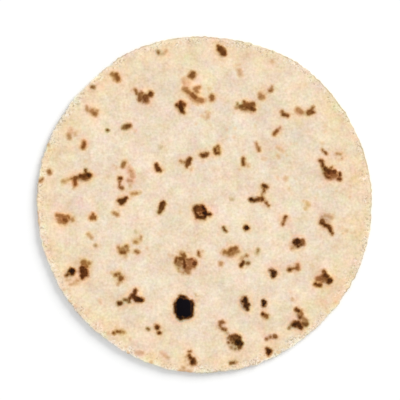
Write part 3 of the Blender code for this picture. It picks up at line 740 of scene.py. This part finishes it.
def toasting(x, y, marks):
    """How far each point is outside the marks, how brown they are there, and their glow.

    A mark is a stroke with round ends, so the gap is the distance to its middle line less
    its half width, in millimetres. Marks that meet run together: the gap is
    -m ln(sum of exp(-gap / m)). Each mark holds a point by 1 / (1 + exp(gap / e)), and the
    browning is the most of brown times hold over the most of hold, so a dark mark shows
    inside a paler one. The glow is the sum of each mark's browning, raised to the glow's
    gain and fading as exp(-gap / reach).
    """
    weights = np.full(x.shape, NO_MARK)
    most_toast = np.full(x.shape, NO_MARK)
    most_hold = np.full(x.shape, NO_MARK)
    glow = np.zeros(x.shape)
    for start_x, start_y, end_x, end_y, half_width, brown in marks:
        run_x = end_x - start_x
        run_y = end_y - start_y
        square = max(run_x ** 2 + run_y ** 2, NO_MARK)
        along = np.clip(((x - start_x) * run_x + (y - start_y) * run_y) / square, 0, 1)
        gap = np.hypot(x - start_x - along * run_x, y - start_y - along * run_y) - half_width
        weights += np.exp(-gap / MERGING_MM)
        hold = 1 / (1 + np.exp(np.minimum(gap / MARK_EDGE_MM, FAR_OFF)))
        most_toast = np.maximum(most_toast, brown * hold)
        most_hold = np.maximum(most_hold, hold)
        glow += brown ** GLOW_GAIN * np.exp(-np.maximum(gap, 0) / GLOW_MM)
    return -MERGING_MM * np.log(weights), most_toast / most_hold, glow


def tinting(x, y, tints):
    """How far red, green and blue change at each point, for one table of tints.

    Inside each patch the change fades by s*s*(3 - 2*s), where s is 1 in its middle and
    falls as the square of the way to its edge. Patches that overlap add up.
    """
    total = np.zeros((*x.shape, 3))
    for change, patches in tints.values():
        for middle_x, middle_y, half_width in patches:
            inside = 1 - ((x - middle_x) ** 2 + (y - middle_y) ** 2) / half_width ** 2
            total += np.multiply.outer(smooth_step(0, 1, inside), change)
    return total


def upper_marks():
    """Every mark of the upper face as a stroke."""
    spots = [(x, y, x, y, half_width, brown) for x, y, half_width, brown in TOASTED_SPOTS]
    return spots + list(TOASTED_STREAKS)


def underside_marks():
    """The marks of the underside: groups of strokes, spread by a seeded rule.

    A group's middle is drawn evenly over the disc and kept where no other is near it. Its
    marks lie around that middle, smaller ones more often than larger ones.
    """
    draw = np.random.default_rng(UNDERSIDE_SEED)
    middles = []
    while len(middles) < UNDERSIDE_GROUPS:
        reach = UNDERSIDE_REACH_MM * math.sqrt(draw.uniform())
        angle = draw.uniform(0, FULL_TURN)
        middle = (reach * math.cos(angle), reach * math.sin(angle))
        if all(math.dist(middle, other) > UNDERSIDE_SPACING_MM for other in middles):
            middles.append(middle)
    smallest, largest = GROUP_HALF_WIDTH_MM
    marks = []
    for middle in middles:
        group_brown = draw.uniform(*GROUP_BROWNING)
        for _ in range(draw.integers(*GROUP_MARKS, endpoint=True)):
            x, y = middle + draw.normal(0, GROUP_SPREAD_MM / 2, 2)
            run_x, run_y = draw.normal(0, GROUP_STROKE_MM, 2)
            half_width = smallest + (largest - smallest) * draw.uniform() ** 2
            brown = min(group_brown * draw.uniform(*GROUP_BROWNING_SHARE), 1)
            marks.append((x, y, x + run_x, y + run_y, half_width, brown))
    return marks


class BreadForm:
    """The rules of the bread's form, for the sizes in its settings."""

    def __init__(self, settings):
        self.radius = settings.diameter / 2
        self.thickness = settings.thickness
        self.rim_thickness = settings.rim_thickness
        self.rim_lift = settings.rim_lift

    def edge_radius(self, angle):
        """The distance from the middle to the edge: the named waves, and a fine ripple."""
        total = np.full(np.shape(angle), self.radius)
        for count, height, crest in EDGE_WAVES:
            total += height * np.cos(count * (angle - math.radians(crest)))
        return total + ripple(angle, *EDGE_RIPPLE, EDGE_SEED)

    def rim_thickness_at(self, angle):
        """The thickness of the rim, which changes a little round the bread."""
        return self.rim_thickness + ripple(angle, *RIM_RIPPLE, RIM_SEED)

    def underside_height(self, share, angle):
        """The height of the underside: flat, then a smooth rise to the lifted rim."""
        lift = self.rim_lift + RIM_LIFT_SWING * np.cos(angle - HIGHEST_SIDE)
        return lift * smooth_step(LIFTS_FROM, 1, share)

    def roll_height(self, x, y):
        """The low waves that cross the face: a cosine along each wave's direction."""
        total = np.zeros(x.shape)
        for length, direction, shift, height in ROLLS:
            way = math.radians(direction)
            along = x * math.cos(way) + y * math.sin(way)
            total += height * np.cos(FULL_TURN * (along / length - shift))
        return total

    def blister_height(self, x, y):
        """The domes of the blisters: inside each oval, height times s*s*(3 - 2*s).

        Here s is 1 in the oval's middle, and falls as the square of the way to its edge.
        """
        total = np.zeros(x.shape)
        for middle_x, middle_y, half_length, half_width, turn, height in BLISTERS:
            way = math.radians(turn)
            along = (x - middle_x) * math.cos(way) + (y - middle_y) * math.sin(way)
            across = (y - middle_y) * math.cos(way) - (x - middle_x) * math.sin(way)
            inside = 1 - (along / half_length) ** 2 - (across / half_width) ** 2
            total += height * smooth_step(0, 1, inside)
        return total

    def dough_relief(self, x, y):
        """The lumps of the dough, coarse to fine."""
        total = np.zeros(x.shape)
        for kind, (size, height) in enumerate(LUMPS):
            total += height * lumps(x, y, size, LUMP_SEED + kind)
        return total

    def mark_relief(self, x, y, gap, brown):
        """The rise of the toasted marks, more where they are browner, with a rough crust."""
        inside = 1 - smooth_step(-MARK_RISE_INSIDE_MM, MARK_RISE_OUTSIDE_MM, gap)
        crust = CRUST_ROUGHNESS * lumps(x, y, CRUST_SIZE, CRUST_SEED)
        return inside * brown * (MARK_RISE + crust)

    def across(self, share, angle, toast_at):
        """Places on a face, at this share of the way from the middle to the rim.

        Gives x, y, the share of the whole radius, and what the toasted marks do there.
        """
        edge = self.edge_radius(angle)
        radius = share * (edge - self.rim_thickness_at(angle) / 2)
        x = radius * np.cos(angle)
        y = radius * np.sin(angle)
        return x, y, radius / edge, toast_at(x / MM, y / MM)

    def on_upper_face(self, share, angle, toast_at):
        """Points of the upper face, and what the toasted marks do at each.

        The height is the underside's, plus the body's thickness, which eases into the
        rim's, plus the relief, which fades out before the rim and on the taut blisters.
        """
        x, y, reach, toast = self.across(share, angle, toast_at)
        rim = self.rim_thickness_at(angle)
        body = self.thickness + (rim - self.thickness) * smooth_step(THINS_FROM, 1, share)
        towards_rim = smooth_step(ROLLS_FADE_FROM, 1, share)
        blisters = self.blister_height(x, y)
        waves = (self.roll_height(x, y) + blisters) * (1 - towards_rim)
        gap, brown, _ = toast
        detail = self.dough_relief(x, y) + self.mark_relief(x, y, gap, brown)
        detail *= 1 - towards_rim * RELIEF_LOST_AT_RIM
        detail *= 1 - smooth_step(*TAUT_HEIGHTS, blisters) * RELIEF_LOST_WHERE_TAUT
        z = self.underside_height(reach, angle) + body + waves + detail
        return np.stack([x, y, z], -1), *toast

    def on_rim(self, turn, angle, toast_at):
        """Points of the rim, at this turn from straight up to straight down.

        The section is half a rounded square: out is the cosine of the turn and up its sine,
        each raised to the rim's roundness.
        """
        rim = self.rim_thickness_at(angle)
        out = math.cos(turn) ** RIM_ROUNDNESS
        up = math.copysign(abs(math.sin(turn)) ** RIM_ROUNDNESS, turn)
        reach = self.edge_radius(angle) - rim / 2 * (1 - out)
        x = reach * np.cos(angle)
        y = reach * np.sin(angle)
        detail = self.dough_relief(x, y) * RELIEF_ON_RIM * up
        z = self.underside_height(1.0, angle) + rim / 2 * (1 + up) + detail
        return np.stack([x, y, z], -1), *toast_at(x / MM, y / MM)

    def on_underside(self, share, angle, toast_at):
        """Points of the underside: flat with shallow pits, and lifted towards the rim."""
        x, y, reach, toast = self.across(share, angle, toast_at)
        pits = PIT_DEPTH * np.maximum(lumps(x, y, PIT_SIZE, PIT_SEED), 0)
        pits *= 1 - smooth_step(PITS_FADE_FROM, 1, share)
        z = self.underside_height(reach, angle) + pits
        return np.stack([x, y, z], -1), *toast


# ------------------------------------------------------------------------ rules for meshes

def disc_places(cells):
    """The share of the radius and the angle of each point of a square grid spread on a disc.

    Each square ring of the grid becomes a circle: the share is the larger of the two
    distances from the middle, and the place along the square's side gives the angle.
    """
    line = np.linspace(-1, 1, cells + 1)
    x, y = np.meshgrid(line, line)
    share = np.maximum(np.abs(x), np.abs(y))
    wide = np.abs(x) >= np.abs(y)
    longer = np.where(wide, x, y)
    ratio = np.divide(np.where(wide, y, x), longer, out=np.zeros_like(x), where=longer != 0)
    eighth = math.pi / 4 * ratio
    angle = np.where(wide, eighth, math.pi / 2 - eighth) + np.where(longer < 0, math.pi, 0)
    return share.ravel(), angle.ravel()


def grid_faces(cells):
    """The quads of a square grid whose points are numbered row by row."""
    line = np.arange(cells)
    first = (line[:, None] * (cells + 1) + line[None, :]).ravel()
    return np.stack([first, first + 1, first + cells + 2, first + cells + 1], -1)


def grid_border(cells):
    """The numbers of a square grid's border points, anticlockwise from its lowest corner."""
    side = np.arange(cells)
    row = cells + 1
    return np.concatenate([
        side,
        cells + side * row,
        cells * row + cells - side,
        (cells - side) * row,
    ])


def ring_faces(outer, inner):
    """The quads between two rings of points that run the same way."""
    return np.stack([outer, np.roll(outer, -1), np.roll(inner, -1), inner], -1)


def halving_faces(fine, coarse):
    """The triangles between a ring and one of half as many points."""
    start = fine[0::2]
    middle = fine[1::2]
    end = np.roll(start, -1)
    coarse_end = np.roll(coarse, -1)
    return np.concatenate([
        np.stack([start, coarse, middle], -1),
        np.stack([middle, coarse, coarse_end], -1),
        np.stack([middle, coarse_end, end], -1),
    ])


def bread_surface(settings):
    """The bread's points with what lies at each, and its faces, the underside's last.

    The upper face is a square grid spread on a disc. Its border is carried round the rim as
    rings, and the underside is a grid of half as many cells, joined by a row of triangles.
    With each point go the gap, browning and glow of the toasted marks, and the rim's scale.
    """
    form = BreadForm(settings)
    upper = partial(toasting, marks=upper_marks())
    lower = partial(toasting, marks=underside_marks())
    fine_cells = settings.cells
    coarse_cells = fine_cells // 2

    share, angle = disc_places(fine_cells)
    ring = grid_border(fine_cells)
    ring_angle = angle[ring]
    rows = [(*form.on_upper_face(share, angle, upper), share)]
    faces = [grid_faces(fine_cells)]
    filled = share.size

    for step in range(1, settings.rim_rows):
        turn = math.pi / 2 - math.pi * step / settings.rim_rows
        scale = np.full(ring.size, 1 + step / settings.rim_rows)
        rows.append((*form.on_rim(turn, ring_angle, upper), scale))
        next_ring = filled + np.arange(ring.size)
        faces.append(ring_faces(next_ring, ring))
        ring = next_ring
        filled += ring.size

    share, angle = disc_places(coarse_cells)
    rows.append((*form.on_underside(share, angle, lower), share))
    faces.append(halving_faces(ring, filled + grid_border(coarse_cells)))
    faces.append((filled + grid_faces(coarse_cells))[:, ::-1])
    return [np.concatenate(column) for column in zip(*rows)], faces


def bread_mesh(settings):
    """The whole bread as one closed mesh, with what its materials read at each point."""
    (points, gap, brown, glow, rim_share), faces = bread_surface(settings)
    polygons = [face for part in faces for face in part.tolist()]
    mesh = bpy.data.meshes.new(PIECE_NAME)
    mesh.from_pydata(points.tolist(), [], polygons)

    x, y = points[:, 0], points[:, 1]
    add_layer(mesh, "toast_gap", gap)
    add_layer(mesh, "toast_brown", brown)
    add_layer(mesh, "toast_glow", glow)
    add_layer(mesh, "rim_share", rim_share)
    add_layer(mesh, "rim_sun_facing", rim_sun_facing(np.arctan2(y, x)))
    add_layer(mesh, "tint", tinting(x / MM, y / MM, DOUGH_TINTS))
    add_layer(mesh, "crust_tint", tinting(x / MM, y / MM, CRUST_HUES))

    slots = np.zeros(len(polygons), dtype=np.int32)
    slots[-len(faces[-1]):] = 1
    mesh.polygons.foreach_set("material_index", slots)
    mesh.polygons.foreach_set("use_smooth", np.ones(len(polygons), dtype=bool))
    mesh.update()
    return mesh


def rim_sun_facing(angle):
    """How much of the darker edge colour the rim's outermost line takes, as painted shade on the
    side facing the main light: a cosine round the bread with its crest on that side, plus
    random patches.
    """
    middle = (RIM_SUN_FACING_MOST + RIM_SUN_FACING_LEAST) / 2
    swing = (RIM_SUN_FACING_MOST - RIM_SUN_FACING_LEAST) / 2
    patches = ripple(angle, *RIM_SUN_FACING_RIPPLE, RIM_SUN_FACING_SEED)
    return middle + swing * np.cos(angle - SUNLIT_SIDE) + patches


def add_layer(mesh, name, values):
    """Keeps one number, or three, for each point, under a name that a material reads."""
    kind, field = ("FLOAT", "value") if values.ndim == 1 else ("FLOAT_VECTOR", "vector")
    layer = mesh.attributes.new(name, kind, "POINT")
    layer.data.foreach_set(field, values.astype(np.float32).ravel())


# -------------------------------------------------------------------- rules for materials

# The sockets of a Mix node that deal with colours.
MIX_SHARE = 0
MIX_FIRST = 6
MIX_SECOND = 7
MIX_RESULT = 2

# The direction in which a noise is shifted.
SHIFT_WAY = (1.0, 0.7, 1.3)


class Wiring:
    """Places nodes in a node tree and joins them."""

    def __init__(self, tree):
        self.tree = tree

    def node(self, kind, inputs=None, **settings):
        """Adds a node with these settings. An input takes a plain value or another's output."""
        made = self.tree.nodes.new(kind)
        for name, value in settings.items():
            setattr(made, name, value)
        for name, value in (inputs or {}).items():
            self.feed(made.inputs[name], value)
        return made

    def feed(self, socket, value):
        """Sets a socket to a plain value, or links another node's output to it."""
        if isinstance(value, bpy.types.NodeSocket):
            self.tree.links.new(value, socket)
        else:
            socket.default_value = value

    def math(self, operation, first, second=0.0, third=0.0):
        """One step of arithmetic."""
        made = self.node("ShaderNodeMath", {0: first, 1: second, 2: third}, operation=operation)
        return made.outputs[0]

    def vector_math(self, operation, first, second):
        """One step of arithmetic on three numbers at once."""
        made = self.node("ShaderNodeVectorMath", {0: first, 1: second}, operation=operation)
        return made.outputs[0]

    def rise(self, value, start, end, low=0.0, high=1.0):
        """A smooth change from low at start to high at end."""
        made = self.node("ShaderNodeMapRange", {
            "Value": value, "From Min": start, "From Max": end, "To Min": low, "To Max": high,
        }, interpolation_type="SMOOTHSTEP")
        return made.outputs["Result"]

    def noise(self, place, kind):
        """One of the named noises, about 0 and mostly within a half each way."""
        size_mm, detail, roughness, shift = NOISES[kind]
        step = tuple(shift * way for way in SHIFT_WAY)
        made = self.node("ShaderNodeTexNoise", {
            "Vector": self.vector_math("ADD", place, step),
            "Scale": 1 / size_mm, "Detail": detail, "Roughness": roughness,
        })
        return self.math("SUBTRACT", made.outputs[0], 0.5)

    def moved(self, value, place, kind, swing):
        """A value moved by swing times one of the named noises."""
        return self.math("MULTIPLY_ADD", self.noise(place, kind), swing, value)

    def place_mm(self):
        """The place on the object, in millimetres."""
        place = self.node("ShaderNodeTexCoord").outputs["Object"]
        scaled = self.node("ShaderNodeVectorMath", {0: place, "Scale": 1 / MM}, operation="SCALE")
        return scaled.outputs[0]

    def layer(self, name, output="Fac"):
        """What the mesh keeps at each point under this name: one number, or a Vector."""
        return self.node("ShaderNodeAttribute", attribute_name=name).outputs[output]

    def blend(self, share, first, second):
        """A colour between two, the first where share is 0 and the second where it is 1."""
        made = self.node("ShaderNodeMix", data_type="RGBA")
        self.feed(made.inputs[MIX_SHARE], share)
        self.feed(made.inputs[MIX_FIRST], first)
        self.feed(made.inputs[MIX_SECOND], second)
        return made.outputs[MIX_RESULT]


def new_group(name, inputs, outputs):
    """A node group with these sockets, each a name and a kind, and the wiring of its inside."""
    tree = bpy.data.node_groups.new(name, "ShaderNodeTree")
    for label, kind in inputs:
        tree.interface.new_socket(label, in_out="INPUT", socket_type=f"NodeSocket{kind}")
    for label, kind in outputs:
        tree.interface.new_socket(label, in_out="OUTPUT", socket_type=f"NodeSocket{kind}")
    wiring = Wiring(tree)
    return wiring, wiring.node("NodeGroupInput").outputs, wiring.node("NodeGroupOutput").inputs


def mottling_group():
    """Uneven dough: patches of light, pink and yellow, and the tint of each place."""
    wiring, given, result = new_group(
        "Mottling",
        [("Place", "Vector"), ("Colour", "Color"), ("Tint", "Vector"), ("Strength", "Float")],
        [("Colour", "Color")])
    place = given["Place"]
    light = wiring.moved(wiring.noise(place, "light"), place, "fine light", FINE_LIGHT_SHARE)
    pink = wiring.noise(place, "pink")
    yellow = wiring.noise(place, "yellow")
    channels = {}
    for number, (of_light, of_pink, of_yellow) in enumerate(MOTTLING_SHARES):
        change = wiring.math("MULTIPLY", light, of_light)
        change = wiring.math("MULTIPLY_ADD", pink, of_pink, change)
        change = wiring.math("MULTIPLY_ADD", yellow, of_yellow, change)
        channels[number] = wiring.math("MULTIPLY_ADD", change, given["Strength"], 1.0)
    factor = wiring.node("ShaderNodeCombineXYZ", channels).outputs[0]
    factor = wiring.vector_math("ADD", factor, given["Tint"])
    wiring.feed(result["Colour"], wiring.vector_math("MULTIPLY", given["Colour"], factor))
    return wiring.tree


def browning_group():
    """Where the crust has browned: Toast, from 0 to about 1, and the Halo of tint around it."""
    wiring, given, result = new_group(
        "Browning",
        [("Place", "Vector"), ("Gap", "Float"), ("Brown", "Float"), ("Glow", "Float")],
        [("Toast", "Float"), ("Halo", "Float")])
    place = given["Place"]
    gap = wiring.moved(given["Gap"], place, "outline", OUTLINE_SWING_MM)
    gap = wiring.moved(gap, place, "fine outline", FINE_OUTLINE_SWING_MM)
    depth = wiring.math("MULTIPLY_ADD", gap, TOAST_FALL_PER_MM, TOAST_ON_OUTLINE)
    depth = wiring.math("SMOOTH_MAX", depth, 0.0, TOAST_SOFT_START)
    depth = wiring.math("SMOOTH_MIN", depth, 1.0, TOAST_SOFT_END)
    uneven = wiring.moved(1.0, place, "crust shade", CRUST_UNEVENNESS)
    toast = wiring.math("MULTIPLY", depth, wiring.math("MULTIPLY", given["Brown"], uneven))
    wiring.feed(result["Toast"], toast)
    patchy = wiring.moved(1.0, place, "halo", HALO_UNEVENNESS)
    halo = wiring.math("MULTIPLY", given["Glow"], patchy)
    halo = wiring.math("SMOOTH_MIN", halo, 1.0, HALO_SOFT_END)
    wiring.feed(result["Halo"], wiring.math("MAXIMUM", halo, 0.0))
    return wiring.tree


def grain_group():
    """Fine relief, with its Height in millimetres: pores, and a crisp crust where toasted."""
    wiring, given, result = new_group(
        "Grain", [("Place", "Vector"), ("Toast", "Float")], [("Height", "Float")])
    place = given["Place"]
    pores = wiring.math("MULTIPLY", wiring.noise(place, "pores"), PORE_HEIGHT_MM)
    crisp = wiring.math("MULTIPLY", wiring.noise(place, "crisp crust"), CRISP_HEIGHT_MM)
    crisp = wiring.math("MULTIPLY", crisp, given["Toast"])
    wiring.feed(result["Height"], wiring.math("ADD", pores, crisp))
    return wiring.tree


def rim_group():
    """The rim: Near it, the dough is warmer, with pale Flour and small dark Flecks.

    Yellow is where that warmth is yellower, Band is the pale band inside the edge, and Edge
    the outermost line; both take painted light, a pale colour that brightens the rim against
    its shading.
    """
    wiring, given, result = new_group(
        "Rim",
        [("Place", "Vector"), ("Share", "Float")],
        [(name, "Float") for name in ("Near", "Yellow", "Band", "Flour", "Flecks", "Edge")])
    place = given["Place"]
    near = wiring.moved(given["Share"], place, "rim warmth", WARM_RIM_SWING)
    wiring.feed(result["Near"], wiring.rise(near, *WARM_RIM))
    yellow = wiring.noise(place, "rim yellow")
    wiring.feed(result["Yellow"], wiring.rise(yellow, *YELLOW_RIM_FROM))
    floured = wiring.moved(given["Share"], place, "floured band", FLOURED_BAND_SWING)
    floured = wiring.rise(floured, *FLOURED_BAND)
    crowding = wiring.noise(place, "crowding")
    for label, kind, starts in (("Flour", "flour", FLOUR_FROM), ("Flecks", "flecks", FLECKS_FROM)):
        bits = wiring.noise(place, kind)
        bits = wiring.math("MULTIPLY_ADD", crowding, CROWDING_SWING, bits)
        bits = wiring.rise(bits, *starts)
        wiring.feed(result[label], wiring.math("MULTIPLY", bits, floured))
    ragged = wiring.moved(given["Share"], place, "ragged edge", RAGGED_SWING)
    wiring.feed(result["Band"], wiring.rise(ragged, *PALE_BAND, 0.0, PALE_BAND_COVER))
    wiring.feed(result["Edge"], wiring.rise(ragged, *OUTERMOST, 0.0, OUTERMOST_COVER))
    return wiring.tree


def crust_ramp(wiring, toast):
    """The colour of the crust for its browning."""
    node = wiring.node("ShaderNodeValToRGB", {"Fac": toast})
    ramp = node.color_ramp
    ramp.interpolation = "LINEAR"
    while len(ramp.elements) < len(CRUST_STOPS):
        ramp.elements.new(1.0)
    for element, (stop, colour) in zip(ramp.elements, CRUST_STOPS):
        element.position = stop
        element.color = (*colour, 1)
    return node.outputs["Color"]


def dough_material(name, settings, groups, floured):
    """Baked dough: mottled, warmer at its rim, tinted round its marks and browned in them."""
    material = bpy.data.materials.new(name)
    material.use_nodes = True
    material.diffuse_color = (*settings.dough, 1)
    wiring = Wiring(material.node_tree)
    shader = material.node_tree.nodes["Principled BSDF"]
    place = wiring.place_mm()

    def use(group, **inputs):
        """One of the shared effects, with its own values."""
        made = wiring.node("ShaderNodeGroup", {"Place": place, **inputs}, node_tree=groups[group])
        return made.outputs

    def cover(colour, share, over):
        """A colour with this share of another over it."""
        return wiring.blend(share, colour, (*over, 1))

    rim = use("rim", Share=wiring.layer("rim_share"))
    browned = use(
        "browning", Gap=wiring.layer("toast_gap"),
        Brown=wiring.layer("toast_brown"), Glow=wiring.layer("toast_glow"))
    warm = cover((*settings.rim, 1), rim["Yellow"], settings.rim_yellow)
    colour = wiring.blend(rim["Near"], (*settings.dough, 1), warm)
    colour = cover(colour, browned["Halo"], settings.halo)
    # Painted light: a pale band inside the edge, partly like flour, brightens the rim against its
    # shading.
    colour = cover(colour, rim["Band"], PALE_EDGE)
    flour = wiring.math("ADD", rim["Flour"], floured)
    colour = cover(colour, wiring.math("MULTIPLY", flour, FLOUR_COVER), settings.flour)
    # Painted light and shade on the rim's outermost line: the pale colour where the rim turns away from
    # the main light, the darker one on the side facing it.
    outermost = cover((*PALE_EDGE, 1), wiring.layer("rim_sun_facing"), SUNLIT_EDGE_SHADE)
    colour = wiring.blend(rim["Edge"], colour, outermost)
    colour = cover(colour, wiring.math("MULTIPLY", rim["Flecks"], FLECK_COVER), FLECK)

    toast = browned["Toast"]
    hue = wiring.vector_math("ADD", wiring.layer("crust_tint", "Vector"), (1, 1, 1))
    crust = wiring.vector_math("MULTIPLY", crust_ramp(wiring, toast), hue)
    colour = wiring.blend(wiring.rise(toast, *CRUST_COVERS), colour, crust)
    mottled = use(
        "mottling", Colour=colour,
        Tint=wiring.layer("tint", "Vector"), Strength=settings.mottling)
    wiring.feed(shader.inputs["Base Color"], mottled["Colour"])

    roughness = wiring.rise(toast, *CRUST_SMOOTHS, DOUGH_ROUGHNESS, DARK_CRUST_ROUGHNESS)
    wiring.feed(shader.inputs["Roughness"], roughness)
    shader.inputs["Specular IOR Level"].default_value = DOUGH_SPECULAR
    height = use("grain", Toast=toast)["Height"]
    bump = wiring.node("ShaderNodeBump", {"Height": height, "Distance": MM, "Strength": 1.0})
    wiring.feed(shader.inputs["Normal"], bump.outputs["Normal"])
    return material


def floor_material(settings):
    """A plain pale floor with the faintest unevenness."""
    material = bpy.data.materials.new("studio_floor")
    material.use_nodes = True
    wiring = Wiring(material.node_tree)
    shader = material.node_tree.nodes["Principled BSDF"]
    shader.inputs["Base Color"].default_value = (*settings.floor, 1)
    shader.inputs["Specular IOR Level"].default_value = 0.0
    roughness = wiring.moved(FLOOR_ROUGHNESS, wiring.place_mm(), "floor", FLOOR_UNEVENNESS)
    wiring.feed(shader.inputs["Roughness"], roughness)
    return material


# ----------------------------------------------------------------------------- the stage

# The colour of the light from all around, with its alpha, and that of the main light.
AMBIENT_COLOUR = (0.99, 1.0, 1.01, 1)
SUN_COLOUR = (1.0, 0.985, 0.96)

# The camera looks straight down. Its frame is square, and the bread fills 336 of its 400
# pixels.
FRAME_PIXELS = 400
BREAD_PIXELS = 336
SENSOR_WIDTH_MM = 36.0
CAMERA_X = -0.0032
CAMERA_Y = 0.0028
LOOKED_AT_Z = 0.003

# The floor lies this far below the bread, so that their faces never fight.
FLOOR_GAP = 0.00005


def make_floor(settings):
    """A wide square just under the bread."""
    half = settings.floor_size / 2
    square = ((-half, -half), (half, -half), (half, half), (-half, half))
    corners = [(x, y, -FLOOR_GAP) for x, y in square]
    mesh = bpy.data.meshes.new("studio_floor")
    mesh.from_pydata(corners, [], [(0, 1, 2, 3)])
    mesh.materials.append(floor_material(settings))
    floor = bpy.data.objects.new("studio_floor", mesh)
    bpy.context.scene.collection.objects.link(floor)


def make_light(settings):
    """Even light from all around, and one soft main light from the far right."""
    world = bpy.data.worlds.new("studio_light")
    world.use_nodes = True
    background = world.node_tree.nodes["Background"]
    background.inputs["Color"].default_value = AMBIENT_COLOUR
    background.inputs["Strength"].default_value = AMBIENT_LIGHT
    bpy.context.scene.world = world

    sun = bpy.data.lights.new("main_light", "SUN")
    sun.energy = SUN_ON_TOP * math.pi / math.sin(settings.sun_elevation)
    sun.angle = settings.sun_softness
    sun.color = SUN_COLOUR
    lamp = bpy.data.objects.new("main_light", sun)
    level = math.cos(settings.sun_elevation)
    toward = Vector((
        level * math.cos(settings.sun_azimuth),
        level * math.sin(settings.sun_azimuth),
        math.sin(settings.sun_elevation),
    ))
    lamp.rotation_euler = toward.to_track_quat("Z", "Y").to_euler()
    lamp.location = toward
    bpy.context.scene.collection.objects.link(lamp)


def make_camera(settings, diameter):
    """A camera straight above the bread, as far off as its lens needs."""
    data = bpy.data.cameras.new("camera")
    data.sensor_width = SENSOR_WIDTH_MM
    data.lens = settings.lens
    view_width = diameter * FRAME_PIXELS / BREAD_PIXELS
    camera = bpy.data.objects.new("camera", data)
    height = LOOKED_AT_Z + view_width * settings.lens / SENSOR_WIDTH_MM
    camera.location = (CAMERA_X, CAMERA_Y, height)
    bpy.context.scene.collection.objects.link(camera)
    bpy.context.scene.camera = camera


# --------------------------------------------------------------------------- the operators

class PIADINA_OT_bread(bpy.types.Operator):
    """Make the toasted flatbread."""

    bl_idname = "piadina.bread"
    bl_label = "Make the bread"

    def execute(self, context):
        settings = context.scene.piadina_bread
        if settings.cells % 4:
            raise ValueError("the cells across the upper face are a multiple of four")
        groups = {
            "mottling": mottling_group(),
            "browning": browning_group(),
            "grain": grain_group(),
            "rim": rim_group(),
        }
        mesh = bread_mesh(settings)
        for name, floured in (("toasted_face", 0.0), ("griddle_face", UNDERSIDE_FLOUR)):
            mesh.materials.append(dough_material(name, settings, groups, floured))
        bread = bpy.data.objects.new(PIECE_NAME, mesh)
        context.scene.collection.objects.link(bread)
        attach(bread, CAD_BODY)
        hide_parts(CAD_NODE)
        return {"FINISHED"}


class PIADINA_OT_stage(bpy.types.Operator):
    """Make the floor, the light and the camera."""

    bl_idname = "piadina.stage"
    bl_label = "Make the stage"

    def execute(self, context):
        settings = context.scene.piadina_stage
        make_floor(settings)
        make_light(settings)
        make_camera(settings, context.scene.piadina_bread.diameter)
        context.scene.view_settings.view_transform = "Standard"
        return {"FINISHED"}


class PIADINA_PT_sidebar(bpy.types.Panel):
    """The settings of the bread and its stage, and what makes them."""

    bl_label = "Piadina"
    bl_idname = "PIADINA_PT_sidebar"
    bl_space_type = "VIEW_3D"
    bl_region_type = "UI"
    bl_category = "Piadina"

    def draw(self, context):
        parts = (
            (context.scene.piadina_bread, PIADINA_OT_bread),
            (context.scene.piadina_stage, PIADINA_OT_stage),
        )
        for settings, operator in parts:
            box = self.layout.box()
            for name in settings.__annotations__:
                box.prop(settings, name)
            box.operator(operator.bl_idname)


CLASSES = (
    PIADINA_PG_bread,
    PIADINA_PG_stage,
    PIADINA_OT_bread,
    PIADINA_OT_stage,
    PIADINA_PT_sidebar,
)


def register():
    for cls in CLASSES:
        bpy.utils.register_class(cls)
    bpy.types.Scene.piadina_bread = PointerProperty(type=PIADINA_PG_bread)
    bpy.types.Scene.piadina_stage = PointerProperty(type=PIADINA_PG_stage)


def unregister():
    del bpy.types.Scene.piadina_stage
    del bpy.types.Scene.piadina_bread
    for cls in reversed(CLASSES):
        bpy.utils.unregister_class(cls)


def main():
    register()
    bpy.ops.piadina.bread()
    bpy.ops.piadina.stage()


if __name__ == "__main__":
    main()
